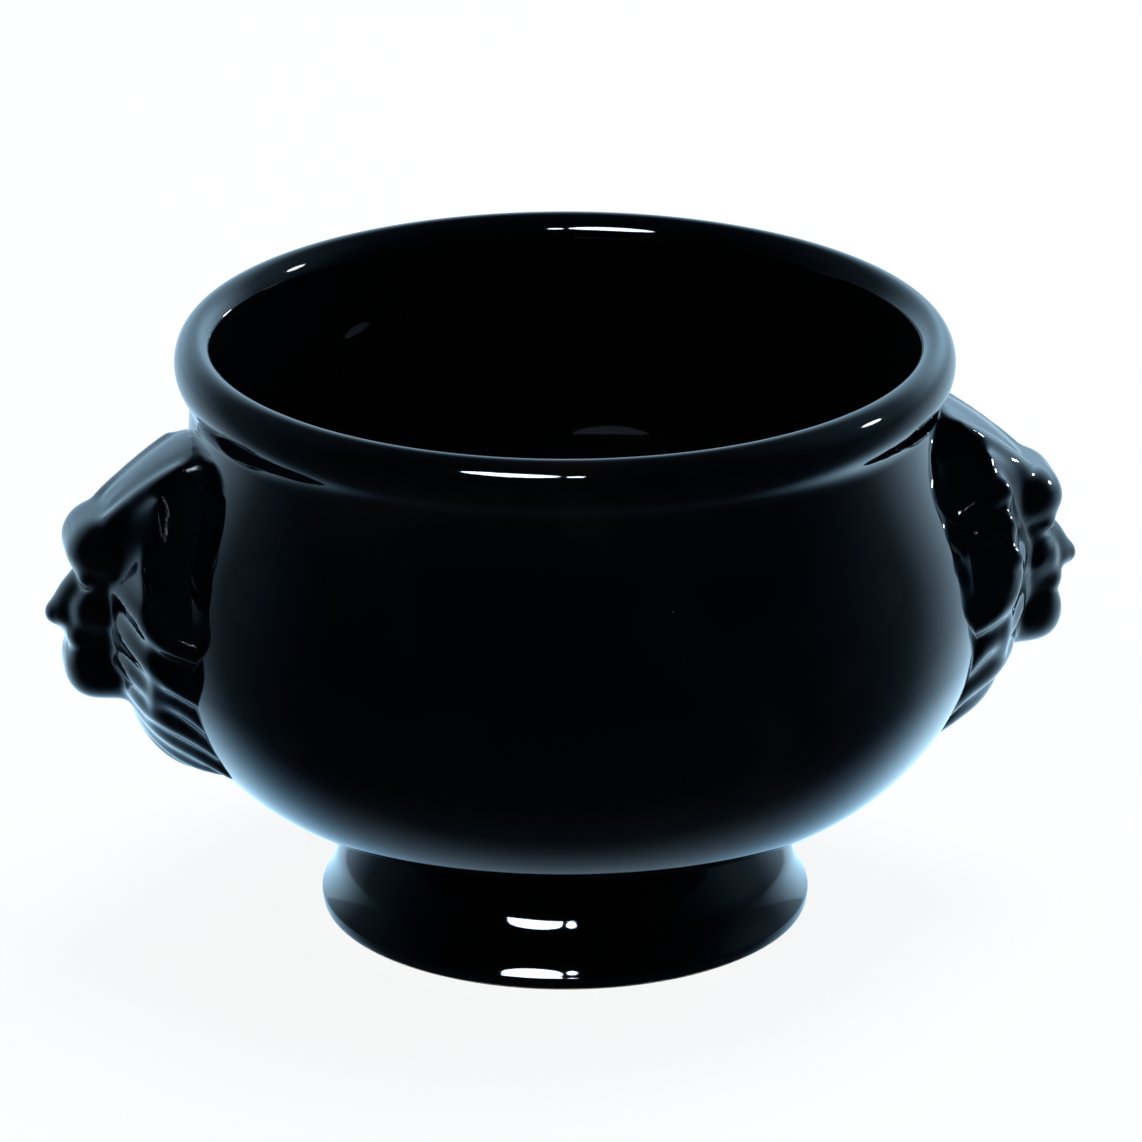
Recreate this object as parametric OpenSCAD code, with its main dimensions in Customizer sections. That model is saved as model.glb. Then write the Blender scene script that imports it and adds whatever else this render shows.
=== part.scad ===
// French onion soup crock: a round-bellied stoneware bowl on a hollow pedestal foot,
// with a lion's head luted to the wall on each side as a handle.
// The origin is the centre of the resting ring, on the table. +Z is up, and the heads face +X and -X.

/* [Bowl] */
// Outside diameter at the belly
belly_d = 122.6; // [112:0.2:134]
// Height of the belly's widest circle above the underside
belly_rise = 24.9; // [20:0.1:30]
// Height of the neck above the belly's widest circle
shoulder_h = 34; // [28:0.5:40]
// Thickness of the side wall
wall = 3.9; // [3:0.1:5.5]
// Thickness of the floor
floor_t = 5; // [4:0.1:8]
// Width of the flat ledge of the underside around the foot's seat
ledge_w = 6.6; // [4:0.1:8]

/* [Rim] */
// Outside diameter of the rolled rim
rim_d = 114; // [106:0.2:122]
// How far the rim stands out from the neck
rim_roll = 2.1; // [1:0.1:4]
// Height of the rim's widest circle above the neck
neck_h = 6.5; // [5:0.1:9]
// Height of the rim's crown above its widest circle
rim_crown = 4; // [2.5:0.1:6]

/* [Foot] */
// Height of the bowl's underside above the table
foot_h = 19.6; // [16:0.1:24]
// Outside diameter of the foot at its waist
waist_d = 58; // [52:0.2:64]
// Height of the waist below the underside
waist_drop = 3.2; // [2.5:0.1:5]
// How far the foot's seat under the bowl stands out from the waist
cove_w = 3.6; // [2:0.1:5]
// How far the foot's swell stands out from the waist
swell_w = 5; // [3:0.1:6]
// Height of the middle of the swell above the table
swell_z = 7.6; // [6.5:0.1:9]
// How far the toe stands out from the middle of the swell
toe_flare = 2.3; // [1.5:0.1:3]
// Height of the toe's widest circle above the table
toe_z = 1.2; // [0.6:0.1:2]
// How far the edge that stands on the table draws in from the toe
toe_in = 0.4; // [0.2:0.1:1]
// Thickness of the foot's wall
foot_wall = 4.6; // [3.5:0.1:6]

/* [Lion heads] */
// Width of a head across its mane
head_w = 43; // [36:0.5:48]
// Height of the nose above the bowl's wall
head_proud = 16.2; // [12:0.1:20]
// Height of the mane's crest above the neck
mane_over_neck = 1.5; // [0:0.1:3]
// Height of the beard's tip above the underside
beard_clear = 4; // [3:0.1:7]
// Thickness of the mane at its edge
mane_edge = 0.9; // [0.6:0.1:1.5]
// Locks of hair on each side of a mane
locks = 9; // [7:1:11]
// Half width of a lock at its root
lock_r = 2.9; // [2:0.1:3.6]

/* [Slip joints] */
// Thickness of the slip that lutes the pieces together
slip_t = 0.4; // [0.2:0.1:0.8]
// Width of the slip bead around each head
bead_w = 1.5; // [0.8:0.1:2.5]
// Height of the slip bead above the slip, against the mane's edge
bead_h = 0.6; // [0.3:0.1:0.6]

/* [Hidden] */
glaze_colour = "#0c1116";
slip_colour = "#2a2724";

// Clearance between a faceted back and the true surface that it seats on
seat_gap = 0.08;
// Thickness of the slip bead's outer edge
bead_edge = 0.15;

// Steps along each curved stretch of a profile
curve_steps = 14;
// Straight stretches that a lock of hair is measured along
lock_steps = 4;
// Points around a head's outline, rings over its relief and rings over its back
rays = 72;
relief_rings = 24;
back_rings = 10;

// Heights above the table
belly_z = foot_h + belly_rise;
neck_z = belly_z + shoulder_h;
rim_z = neck_z + neck_h;
top_z = rim_z + rim_crown;
floor_z = foot_h + floor_t;
waist_z = foot_h - waist_drop;
foot_top_z = foot_h - slip_t;

// Radii
belly_r = belly_d / 2;
rim_r = rim_d / 2;
neck_r = rim_r - rim_roll;
throat_r = neck_r - wall;
waist_r = waist_d / 2;
seat_r = waist_r + cove_w;
underside_r = seat_r + ledge_w;
floor_r = underside_r - wall;
swell_r = waist_r + swell_w;
toe_r = swell_r + toe_flare;
foot_base_r = toe_r - toe_in;
recess_r = waist_r - foot_wall;
rest_inner_r = foot_base_r - foot_wall;

// Lengths of the curves' handles, as shares of the stretch that each handle runs along
underside_share = 0.51;
belly_under_share = 0.38;
belly_over_share = 0.42;
neck_under_share = 0.42;
neck_over_share = 0.45;
cove_top_share = 0.72;
cove_side_share = 0.5;
waist_under_share = 0.33;
swell_over_share = 0.39;
swell_under_share = 0.27;
toe_over_share = 0.23;
hollow_share = 0.5;
base_share = 0.55;
// Slope of the foot's side at the middle of the swell: outwards for each step down
swell_lean = 0.36;

// Extent and middle of a head
head_top_z = neck_z + mane_over_neck;
head_low_z = foot_h + beard_clear;
head_z = (head_top_z + head_low_z) / 2;
head_half_h = (head_top_z - head_low_z) / 2;
head_half_w = head_w / 2;
outline_power = 2.15;

// Lumps of the face, from the brow down. Across and half width are shares of the head's half width,
// up and half height of its half height, and top of the nose's height. A lump off the middle is a pair.
face_lump_shares = [
    // across, up, half width, half height, top
    [0, 0.38, 0.46, 0.48, 0.78],     // skull
    [0.21, 0.48, 0.26, 0.16, 0.91],  // brows
    [0.34, 0.3, 0.17, 0.16, 0.74],   // temples
    [0.37, 0.26, 0.12, 0.09, 0.78],  // eyes
    [0, 0.2, 0.16, 0.3, 0.87],       // bridge of the nose
    [0, -0.04, 0.13, 0.1, 1],        // nose
    [0.2, -0.11, 0.24, 0.15, 0.88],  // muzzle pads
    [0.36, 0.01, 0.19, 0.17, 0.7],   // cheeks
    [0, -0.38, 0.34, 0.2, 0.81],     // chin
    [0.28, -0.35, 0.22, 0.19, 0.73], // jaws
];
// How steeply a lump falls away from its top, and how blunt it is
lump_fall = 0.5;
lump_bluntness = 1.9;

// The mound under the mane, as a share of the nose's height, and how square its shoulders are
mound_share = 0.385;
mound_power = 6;
// How sharply neighbouring forms part: a higher power leaves a sharper valley
blend_power = 10;

// The oval around the face that the locks grow from, as shares of the head's half width and half height
face_w_share = 0.53;
face_h_share = 0.58;
// Where the locks end, as a share of the outline
lock_end_share = 0.95;
// Where the bend of a lock lies between its root and its tip, across and up
lock_bend_shares = [0.55, 0.2];
// Angles of the first and last lock on each side, measured up from the middle of the side
first_lock = 80;
last_lock = -72;
// How far a lock's tip turns away from its root, and the height at which the turn changes from down to up
lock_turn = 14;
lock_droop_share = 0.45;
// Height of a lock at its root and at its tip, as shares of the nose's height,
// and the tip's width as a share of the root's
lock_root_share = 0.52;
lock_tip_share = 0.36;
lock_taper_share = 0.75;

function curve(p0, p1, p2, p3, steps = curve_steps) = [for (i = [0:steps]) let (t = i / steps, s = 1 - t)
    s * s * s * p0 + 3 * s * s * t * p1 + 3 * s * t * t * p2 + t * t * t * p3];

function total(v) = v * [for (x = v) 1];

function mix(a, b, t) = a + (b - a) * t;

// A list without its last point, so that stretches join without a double point
function open_end(points) = [for (i = [0:len(points) - 2]) points[i]];

// Outside of the bowl as radius and height, from the edge of the underside up to the rim's widest circle
function outside() = concat(
    open_end(curve([underside_r, foot_h],
        [mix(underside_r, belly_r, underside_share), foot_h],
        [belly_r, belly_z - belly_rise * belly_under_share],
        [belly_r, belly_z])),
    open_end(curve([belly_r, belly_z],
        [belly_r, belly_z + shoulder_h * belly_over_share],
        [neck_r, neck_z - shoulder_h * neck_under_share],
        [neck_r, neck_z])),
    curve([neck_r, neck_z],
        [neck_r, neck_z + neck_h * neck_over_share],
        [rim_r, rim_z - neck_h * neck_over_share],
        [rim_r, rim_z]));

// Inside of the bowl, from the throat down to the edge of the flat floor
function inside() = concat(
    open_end(curve([throat_r, neck_z],
        [throat_r, neck_z - shoulder_h * neck_under_share],
        [belly_r - wall, belly_z + shoulder_h * belly_over_share],
        [belly_r - wall, belly_z])),
    curve([belly_r - wall, belly_z],
        [belly_r - wall, belly_z - (belly_rise - floor_t) * belly_under_share],
        [mix(floor_r, belly_r - wall, underside_share), floor_z],
        [floor_r, floor_z]));

// Half an oval over the rim, from its widest circle outside to the throat
function crown() = let (middle = (rim_r + throat_r) / 2, half = (rim_r - throat_r) / 2)
    [for (i = [1:curve_steps]) let (turn = 180 * i / curve_steps)
        [middle + half * cos(turn), rim_z + rim_crown * sin(turn)]];

outside_points = outside();
wall_table = [for (p = outside_points) [p[1], p[0]]];

// Distance of the bowl's outer wall from the X = 0 plane, at a sideways place and a height
function wall_x(across, up) = sqrt(pow(lookup(up, wall_table), 2) - across * across);

module bowl() {
    color(glaze_colour) rotate_extrude($fn = 180)
        polygon(concat([[0, foot_h]], outside_points, crown(), inside(), [[0, floor_z]]));
}

// Outside of the foot, from its seat under the bowl over the waist, the swell and the toe to the table
function foot_outside() = let (
        over = (waist_z - swell_z) * swell_over_share,
        under = (swell_z - toe_z) * swell_under_share) concat(
    open_end(curve([seat_r, foot_top_z],
        [mix(seat_r, waist_r, cove_top_share), foot_top_z],
        [waist_r, mix(waist_z, foot_top_z, cove_side_share)],
        [waist_r, waist_z])),
    open_end(curve([waist_r, waist_z],
        [waist_r, mix(waist_z, swell_z, waist_under_share)],
        [swell_r - over * swell_lean, swell_z + over],
        [swell_r, swell_z])),
    open_end(curve([swell_r, swell_z],
        [swell_r + under * swell_lean, swell_z - under],
        [toe_r, mix(toe_z, swell_z, toe_over_share)],
        [toe_r, toe_z])),
    curve([toe_r, toe_z],
        [toe_r, toe_z * (1 - base_share)],
        [mix(foot_base_r, toe_r, base_share), 0],
        [foot_base_r, 0], floor(curve_steps / 2)));

// Hollow of the foot, from the table up to its seat
function foot_hollow() = curve([rest_inner_r, 0],
    [rest_inner_r, waist_z * hollow_share],
    [recess_r, waist_z * hollow_share],
    [recess_r, waist_z]);

module foot() {
    color(glaze_colour) rotate_extrude($fn = 180)
        polygon(concat(foot_outside(), foot_hollow(), [[recess_r, foot_top_z]]));
}

// Ring of slip between the foot's seat and the bowl's underside
module foot_slip_joint() {
    color(slip_colour) rotate_extrude($fn = 180)
        translate([recess_r, foot_top_z]) square([seat_r - recess_r, slip_t]);
}

// Distance of a head's outline from its middle, at an angle measured up from the side
function outline_r(turn) = pow(pow(abs(cos(turn)) / head_half_w, outline_power)
    + pow(abs(sin(turn)) / head_half_h, outline_power), -1 / outline_power);

// A place on a head as a sideways distance and a distance up from its middle
function head_place(turn, share) = outline_r(turn) * share * [cos(turn), sin(turn)];

// Height of a form at a squared distance from its middle, counted in its own half widths
function bump(top, q) = top * exp(-lump_fall * pow(q, lump_bluntness));

function face_lump(place, lump, side) = bump(head_proud * lump[4],
    pow((place[0] - side * lump[0] * head_half_w) / (lump[2] * head_half_w), 2)
    + pow((place[1] - lump[1] * head_half_h) / (lump[3] * head_half_h), 2));

// Points along one lock, from its root beside the face to its tip at the mane's edge
function lock_points(i, side) = let (
        turn = mix(first_lock, last_lock, i / (locks - 1)),
        root = [face_w_share * head_half_w * cos(turn), face_h_share * head_half_h * sin(turn)],
        tip = head_place(turn + lock_turn * (sin(turn) - lock_droop_share) * cos(turn), lock_end_share),
        bend = [mix(root[0], tip[0], lock_bend_shares[0]), mix(root[1], tip[1], lock_bend_shares[1])])
    [for (k = [0:lock_steps]) let (t = k / lock_steps, s = 1 - t,
            p = s * s * root + 2 * s * t * bend + t * t * tip) [side * p[0], p[1]]];

// Points down the beard in the middle, from under the chin to its tip
beard_points = [for (k = [0:lock_steps])
    [0, -head_half_h * mix(face_h_share, lock_end_share, k / lock_steps)]];

mane = concat([for (side = [-1, 1]) for (i = [0:locks - 1]) lock_points(i, side)], [beard_points]);

// Height of one lock over a place: the highest of its straight stretches
function lock_height(place, points) = max([for (k = [0:lock_steps - 1]) let (
        a = points[k], along = points[k + 1] - a, from = place - a,
        t = max(0, min(1, from * along / (along * along))),
        share = (k + t) / lock_steps,
        off = norm(from - along * t) / (lock_r * mix(1, lock_taper_share, share)))
    bump(head_proud * mix(lock_root_share, lock_tip_share, share), off * off)]);

// Height of a head above the slip at a place. share is the place's share of the outline.
function relief(place, share) = let (
        mound = head_proud * mound_share * sqrt(max(0, 1 - pow(share, mound_power))),
        face = [for (lump = face_lump_shares) for (side = lump[0] == 0 ? [1] : [-1, 1])
            face_lump(place, lump, side)],
        hair = [for (points = mane) lock_height(place, points)],
        sum_height = pow(total([for (h = concat([mound], face, hair)) pow(h, blend_power)]), 1 / blend_power),
        edge_fade = sqrt(max(0, 1 - pow(share, mound_power))))
    mane_edge + (sum_height - mane_edge) * edge_fade;

// A point on a head or its slip: a place on the outline's share, raised off the bowl's wall
function seated(place, rise) = [wall_x(place[0], head_z + place[1]) + seat_gap + rise,
    place[0], head_z + place[1]];

// Shares of the back's rings, closer together towards the outline, where the bowl curves most
function back_share(k) = sin(90 * k / back_rings);

function seated_ring(share, rise) = [for (i = [0:rays - 1]) seated(head_place(360 * i / rays, share), rise)];

function relief_ring(share) = [for (i = [0:rays - 1]) let (place = head_place(360 * i / rays, share))
    seated(place, slip_t + relief(place, share))];

// Two triangles for each stretch between one ring of points and the next
function strip(a, b) = [for (i = [0:rays - 1]) let (j = (i + 1) % rays)
    each [[a + i, b + j, b + i], [a + i, a + j, b + j]]];

function fan(middle, ring) = [for (i = [0:rays - 1]) [middle, ring + (i + 1) % rays, ring + i]];

function flipped(faces) = [for (f = faces) [f[0], f[2], f[1]]];

// A closed solid between two stacks of rings that start at a middle point and end at the same outline
module between(front_middle, front, back_middle, back) {
    back_start = 1 + len(front) * rays;
    polyhedron(
        points = concat([front_middle], [for (ring = front) each ring],
            [back_middle], [for (ring = back) each ring]),
        faces = concat(
            fan(0, 1),
            [for (k = [0:len(front) - 2]) each strip(1 + k * rays, 1 + (k + 1) * rays)],
            strip(1 + (len(front) - 1) * rays, back_start + 1 + (len(back) - 1) * rays),
            flipped(fan(back_start, back_start + 1)),
            [for (k = [0:len(back) - 2])
                each flipped(strip(back_start + 1 + k * rays, back_start + 1 + (k + 1) * rays))]));
}

module lion_head() {
    color(glaze_colour) between(
        seated([0, 0], slip_t + relief([0, 0], 0)),
        [for (k = [1:relief_rings]) relief_ring(k / relief_rings)],
        seated([0, 0], slip_t),
        [for (k = [1:back_rings]) seated_ring(back_share(k), slip_t)]);
}

// Slip behind a head, with the bead that it squeezes out around the mane
module slip_joint() {
    bead_share = 1 + bead_w / head_half_w;
    color(slip_colour) between(
        seated([0, 0], slip_t),
        concat([for (k = [1:back_rings]) seated_ring(back_share(k), slip_t)],
            [seated_ring(1, slip_t + bead_h), seated_ring(bead_share, bead_edge)]),
        seated([0, 0], 0),
        [for (k = [1:back_rings]) seated_ring(back_share(k) * bead_share, 0)]);
}

module on_left() {
    rotate(180) children();
}

bowl();
foot();
foot_slip_joint();
on_left() lion_head();  // left_lion_head
on_left() slip_joint();  // left_slip_joint
lion_head();  // right_lion_head
slip_joint();  // right_slip_joint
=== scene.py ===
# %% [markdown]
# # A black glazed soup crock with lion-head handles
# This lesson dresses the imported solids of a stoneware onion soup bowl. The frame gives the true sizes,
# so we load it first and keep its box: nothing that we model may grow out of that box.

# %% load the frame
import math

import bpy
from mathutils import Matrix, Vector, geometry


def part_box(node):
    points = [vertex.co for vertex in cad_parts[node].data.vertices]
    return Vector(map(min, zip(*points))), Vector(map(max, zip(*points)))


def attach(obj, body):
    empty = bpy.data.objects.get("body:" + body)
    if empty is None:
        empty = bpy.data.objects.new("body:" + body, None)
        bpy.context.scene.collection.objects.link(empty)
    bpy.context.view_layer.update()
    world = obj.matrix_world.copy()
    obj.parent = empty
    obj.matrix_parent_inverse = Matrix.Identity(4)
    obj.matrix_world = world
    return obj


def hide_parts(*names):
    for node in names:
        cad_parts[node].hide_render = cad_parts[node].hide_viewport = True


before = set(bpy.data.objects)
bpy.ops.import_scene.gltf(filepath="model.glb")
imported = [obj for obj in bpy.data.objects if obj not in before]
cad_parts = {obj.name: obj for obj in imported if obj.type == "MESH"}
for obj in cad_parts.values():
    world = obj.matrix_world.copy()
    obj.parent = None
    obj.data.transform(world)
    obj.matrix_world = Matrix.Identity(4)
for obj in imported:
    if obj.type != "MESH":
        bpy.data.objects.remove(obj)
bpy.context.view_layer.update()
MM = 0.001
print("nodes:", sorted(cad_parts))

# %% [markdown]
# ## Two small habits
# Operators act on everything that is selected, and the frame arrives selected. So every step starts by
# leaving edit mode and clearing the selection, and ends with one finished object whose place is in its mesh.

# %% selection helpers
WELD = 0.002 * MM


def clear_selection():
    if bpy.context.mode != "OBJECT":
        bpy.ops.object.mode_set(mode="OBJECT")
    bpy.ops.object.select_all(action="DESELECT")


def pick(*pieces):
    clear_selection()
    for piece in pieces:
        piece.select_set(True)
    bpy.context.view_layer.objects.active = pieces[0]


def settle(piece):
    """Puts the piece's place into its mesh, closes doubles and turns the faces outwards."""
    pick(piece)
    bpy.ops.object.transform_apply(location=True, rotation=True, scale=True)
    bpy.ops.object.mode_set(mode="EDIT")
    bpy.ops.mesh.select_all(action="SELECT")
    bpy.ops.mesh.remove_doubles(threshold=WELD)
    bpy.ops.mesh.normals_make_consistent(inside=False)
    bpy.ops.object.mode_set(mode="OBJECT")
    bpy.ops.object.shade_smooth()


def apply_modifier(piece, kind, **settings):
    pick(piece)
    modifier = piece.modifiers.new(kind.lower(), kind)
    for name, value in settings.items():
        setattr(modifier, name, value)
    bpy.ops.object.modifier_apply(modifier=modifier.name)


print("selected when the lesson starts:", len(bpy.context.selected_objects))

# %% [markdown]
# ## Camera
# The bowl is photographed from a little above the rim and a little to the left, through a long lens: the
# ovals of the mouth and the foot barely differ. The camera looks from 1.2 m at a point near the middle.

# %% camera
CAMERA_DISTANCE = 1200 * MM
CAMERA_TURN = math.radians(-9.4)
CAMERA_LIFT = math.radians(21.47)
LOOK_AT = Vector((0, 0, 45 * MM))
FRAME_PX = 1142
PX_PER_MM = 6.77
AIM_RIGHT, AIM_UP = 0.88 * MM, 6.0 * MM
SENSOR_WIDTH = 36
CLIP_START, CLIP_END = 0.05, 20


def direction(turn, lift):
    """Points away from the bowl: turned to the right of its front and lifted off the table."""
    return Vector((math.sin(turn) * math.cos(lift), -math.cos(turn) * math.cos(lift), math.sin(lift)))


def looking(start, goal):
    return (goal - start).to_track_quat("-Z", "Y").to_euler()


toward = direction(CAMERA_TURN, CAMERA_LIFT)
right = Vector((math.cos(CAMERA_TURN), math.sin(CAMERA_TURN), 0))
up = toward.cross(right)
eye = LOOK_AT + toward * CAMERA_DISTANCE
aim = LOOK_AT + right * AIM_RIGHT + up * AIM_UP
bpy.ops.object.camera_add(location=eye, rotation=looking(eye, aim))
camera = bpy.context.object
camera.name = "camera"
camera.data.sensor_width = SENSOR_WIDTH
camera.data.lens = PX_PER_MM / MM * CAMERA_DISTANCE / FRAME_PX * SENSOR_WIDTH
camera.data.clip_start, camera.data.clip_end = CLIP_START, CLIP_END
bpy.context.scene.camera = camera
print("lens", round(camera.data.lens, 1), "mm")

# %% [markdown]
# ## Profiles
# A thrown bowl is a profile turned on a wheel. We draw the half profile as a Bezier curve, with a knot only
# where the clay changes direction, make it a mesh and spin it once around the upright axis. A knot is given
# as radius, height, and the handles that lead into it and out of it, all in millimetres.

# %% spin helper
SPIN_STEPS = 192
STRAIGHT = (0, 0)  # a knot without a handle
ROUND = 0.5523  # handle length of a quarter circle


def spin_profile(name, knots, points_per_span=20):
    clear_selection()
    bpy.ops.curve.primitive_bezier_curve_add(location=(0, 0, 0))
    curve = bpy.context.object
    curve.name = name
    spline = curve.data.splines[0]
    spline.bezier_points.add(len(knots) - 2)
    curve.data.dimensions = "3D"
    spline.resolution_u = points_per_span
    for point, (radius, height, into, out) in zip(spline.bezier_points, knots):
        point.handle_left_type = point.handle_right_type = "FREE"
        point.co = Vector((radius, 0, height)) * MM
        point.handle_left = point.co + Vector((into[0], 0, into[1])) * MM
        point.handle_right = point.co + Vector((out[0], 0, out[1])) * MM
    bpy.ops.object.convert(target="MESH")
    piece = bpy.context.object
    bpy.ops.object.mode_set(mode="EDIT")
    bpy.ops.mesh.select_all(action="SELECT")
    bpy.ops.mesh.spin(steps=SPIN_STEPS, angle=2 * math.pi, center=(0, 0, 0), axis=(0, 0, 1))
    settle(piece)
    print(name, len(piece.data.polygons), "faces")
    return piece


print("a spin has", SPIN_STEPS, "steps of", 360 / SPIN_STEPS, "degrees")

# %% [markdown]
# ## Bowl
# The wall swells from a flat underside to the belly, draws in to the neck and rolls out into a rounded rim.
# The frame gives the belly's radius, the underside and the top; the rest are the potter's own measures.

# %% bowl
bowl_low, bowl_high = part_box("bowl")
belly_r = bowl_high.y / MM
underside_z = bowl_low.z / MM
top_z = bowl_high.z / MM
belly_rise, shoulder_h, neck_h = 24.9, 34, 6.5
belly_z = underside_z + belly_rise
neck_z = belly_z + shoulder_h
rim_z = neck_z + neck_h
rim_r, rim_roll, wall, floor_t = 57.0, 2.1, 3.9, 5.0
neck_r = rim_r - rim_roll
throat_r = neck_r - wall
underside_r = 39.2
floor_r = underside_r - wall
floor_z = underside_z + floor_t
rim_mid = (rim_r + throat_r) / 2
rim_half = (rim_r - throat_r) / 2
crown = top_z - rim_z
# Lengths of the handles, as shares of the stretch that each runs along
UNDER_SHARE, FLOOR_SHARE, BELLY_SHARE, SHOULDER_SHARE, NECK_SHARE = 0.51, 0.49, 0.38, 0.42, 0.45

bowl_knots = [
    (0, underside_z, STRAIGHT, (1, 0)),
    (underside_r, underside_z, (-1, 0), ((belly_r - underside_r) * UNDER_SHARE, 0)),
    (belly_r, belly_z, (0, -belly_rise * BELLY_SHARE), (0, shoulder_h * SHOULDER_SHARE)),
    (neck_r, neck_z, (0, -shoulder_h * SHOULDER_SHARE), (0, neck_h * NECK_SHARE)),
    (rim_r, rim_z, (0, -neck_h * NECK_SHARE), (0, crown * ROUND)),
    (rim_mid, top_z, (rim_half * ROUND, 0), (-rim_half * ROUND, 0)),
    (throat_r, rim_z, (0, crown * ROUND), (0, -2)),
    (throat_r, neck_z, (0, 2), (0, -shoulder_h * SHOULDER_SHARE)),
    (belly_r - wall, belly_z, (0, shoulder_h * SHOULDER_SHARE), (0, -(belly_rise - floor_t) * BELLY_SHARE)),
    (floor_r, floor_z, ((belly_r - wall - floor_r) * FLOOR_SHARE, 0), (-1, 0)),
    (0, floor_z, (1, 0), STRAIGHT),
]
bowl = spin_profile("glazed_bowl", bowl_knots)

# %% [markdown]
# ## Foot
# The pedestal is a hollow ring. Its outside runs from a narrow waist over a round shoulder to a flared toe,
# and it stands on a narrow edge. The waist and the toe come from the same measures as the solid's.

# %% foot
foot_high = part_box("foot")[1]
foot_top = foot_high.z / MM
waist_r, waist_drop, cove_w = 29.0, 3.2, 3.6
waist_z = underside_z - waist_drop
seat_r = waist_r + cove_w
toe_r, toe_z = foot_high.y / MM, 1.4
flare_r, flare_z, flare_lean = waist_r + 3.75, 9.4, 0.62
swell_r, swell_z, swell_lean = waist_r + 5.3, 5.9, 0.3
toe_in, foot_wall, rest_edge, rest_round = 0.4, 4.6, 0.5, 0.28
base_r = toe_r - toe_in
recess_r, rest_inner_r = waist_r - foot_wall, base_r - foot_wall
foot_knots = [
    (seat_r, foot_top, STRAIGHT, (-2.6, 0)),
    (waist_r, waist_z, (0, 1.4), (0, -1.7)),
    (flare_r, flare_z, (-flare_lean * 2.2, 2.2), (flare_lean * 1.7, -1.7)),
    (swell_r, swell_z, (-swell_lean * 1.5, 1.5), (swell_lean * 1.2, -1.2)),
    (toe_r - 0.1, toe_z + 0.5, (-0.95, 1.4), (0.12, -0.2)),
    (toe_r, toe_z, (0, 0.25), (0, -toe_z * ROUND)),
    (base_r, 0, (0.22, 0), (-0.5, 0)),
    (rest_inner_r + rest_edge, 0, (0.5, 0), (-rest_round, 0)),
    (rest_inner_r, rest_edge, (0, -rest_round), (0, 7)),
    (recess_r, waist_z, (0, -7), (0, 1)),
    (recess_r, foot_top, (0, -1), (1, 0)),
    (seat_r, foot_top, (-1, 0), STRAIGHT),
]
foot = spin_profile("glazed_foot", foot_knots)

# %% [markdown]
# ## Luting line
# Foot and bowl are joined with slip, and the glaze pools in that corner. A thin ring with a hollow face
# stands for it: it is spun as well, and it hides the straight edge where the two solids meet.

# %% luting ring
luting_in_r, luting_foot_r, luting_bowl_r = seat_r - 1.4, seat_r + 0.2, seat_r + 1.7
luting_knots = [
    (luting_in_r, foot_top, STRAIGHT, (0.5, 0)),
    (luting_foot_r, foot_top, (-0.5, 0.02), (0.5, 0.05)),
    (luting_bowl_r, underside_z, (-0.7, 0), (-0.5, 0)),
    (luting_in_r, underside_z, (0.5, 0), (0, -0.1)),
    (luting_in_r, foot_top, (0, 0.1), STRAIGHT),
]
luting_ring = spin_profile("luting_ring", luting_knots, points_per_span=8)

# %% [markdown]
# ## Lion heads: clay lumps
# The potter presses each head in a mould: a face of three stacked swellings in front of a collar of locks.
# We build it as a sculptor would, from overlapping lumps of clay: cushions for the mane and the roof of hair,
# rounded blocks for the brow, the muzzle and the chin, cut cones whose slopes turn the mane outwards, and
# balls for the nose and the eyes. A voxel remesh melts them together afterwards. Places are millimetres:
# outwards from the bowl's axis, sideways, and up. A lump off the middle is made on both sides.

# %% cushions of the mane
MANE_X, MANE_MID = 52.5, 45.5
MANE_DEPTH, MANE_HALF_W, MANE_HALF_H = 13.8, 21.4, 20.4
COLLAR_X, COLLAR_MID = 52.4, 56.0
COLLAR_DEPTH, COLLAR_HALF_W, COLLAR_HALF_H = 12.6, 13.2, 16.4
CHEEKS_X, CHEEKS_MID = 53.0, 47.0
CHEEKS_DEPTH, CHEEKS_HALF_W, CHEEKS_HALF_H = 12.4, 20.0, 15.0
CUSHIONS = [
    # name, place, half sizes, tip forward, roundness
    ("collar", (COLLAR_X, 0, COLLAR_MID), (COLLAR_DEPTH, COLLAR_HALF_W, COLLAR_HALF_H), 0, 0.72),
    ("cheeks_of_mane", (CHEEKS_X, 0, CHEEKS_MID), (CHEEKS_DEPTH, CHEEKS_HALF_W, CHEEKS_HALF_H), 0, 0.76),
    ("roof", (59.6, 0, 65.4), (13.0, 9.8, 6.6), 40, 0.64),
]
ON_AXIS = 0.01 * MM


def clay_cushion(name, place, half, tip, roundness):
    clear_selection()
    bpy.ops.mesh.primitive_cube_add(size=2 * MM, location=(0, 0, 0))
    cushion = bpy.context.object
    cushion.name = name
    bpy.ops.object.mode_set(mode="EDIT")
    bpy.ops.mesh.subdivide(number_cuts=15)
    bpy.ops.transform.tosphere(value=roundness)
    bpy.ops.object.mode_set(mode="OBJECT")
    middle = [co for co in (vertex.co for vertex in cushion.data.vertices) if abs(co.y) + abs(co.z) < ON_AXIS]
    reach = max(co.x for co in middle)
    bpy.ops.object.mode_set(mode="EDIT")
    bpy.ops.transform.resize(value=[size * MM / reach for size in half])
    bpy.ops.object.mode_set(mode="OBJECT")
    cushion.rotation_euler = (0, math.radians(tip), 0)
    cushion.location = Vector(place) * MM
    return cushion


clay = [clay_cushion(*cushion) for cushion in CUSHIONS]
print("cushions:", len(CUSHIONS))

# %% blocks of the face
FACE_BLOCKS = [
    # name, place, half sizes, taper of the front, drop of its upper edge, rounding
    ("brow", (61.4, 0, 61.6), (12.8, 9.6, 6.8), 0.84, 2.4, 4.8),
    ("core", (59.2, 0, 51.6), (12.8, 8.0, 13.0), 0.86, 0, 4.0),
    ("muzzle", (61.0, 0, 51.0), (12.6, 8.6, 4.4), 0.82, 0, 3.2),
    ("chin", (61.6, 0, 42.2), (13.0, 8.6, 6.0), 0.8, 0, 4.4),
]


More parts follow.
